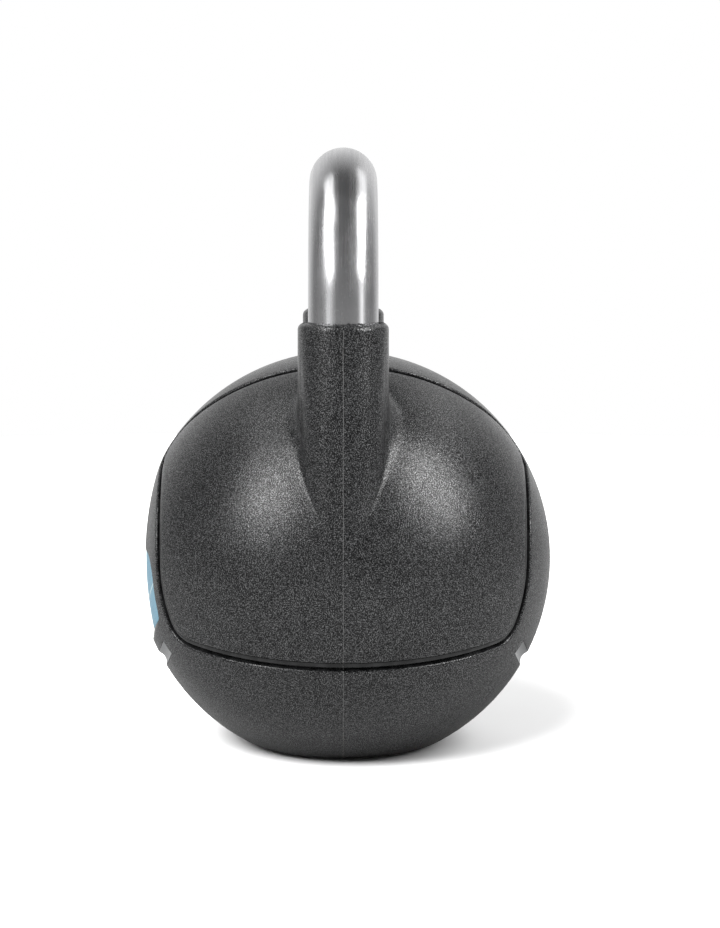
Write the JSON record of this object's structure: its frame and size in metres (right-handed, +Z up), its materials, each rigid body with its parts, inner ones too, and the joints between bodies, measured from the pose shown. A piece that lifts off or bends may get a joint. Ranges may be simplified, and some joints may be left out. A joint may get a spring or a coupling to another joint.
{
  "type": "kettlebell",
  "caption": "Kettlebell: a ball of iron in a moulded rubber jacket with a flat base, two raised collars and an arched bare steel handle.",
  "frame": {"origin": "centre of the flat base, on the vertical axis of the ball", "axes": "+Z up through the ball to the handle, X along the handle's span through both legs, -Y out of the front face with the badge"},
  "size_m": [0.208, 0.204, 0.2985],
  "materials": {
    "rubber": "charcoal moulded rubber with a fine pebble grain, smooth in the grooves",
    "iron": "raw sand-cast iron",
    "steel": "satin, brushed along the bar",
    "pin_steel": "turned",
    "badge_blue": "satin light blue inlay",
    "stripe_grey": "satin light grey inlay"
  },
  "bodies": {
    "root": {"rubber_jacket": "rubber", "iron_core": "iron", "handle_bar": "steel", "lock_pin_left": "pin_steel", "lock_pin_right": "pin_steel", "front_badge": "badge_blue", "front_stripe": "stripe_grey", "back_stripe": "stripe_grey"}
  },
  "joints": []
}
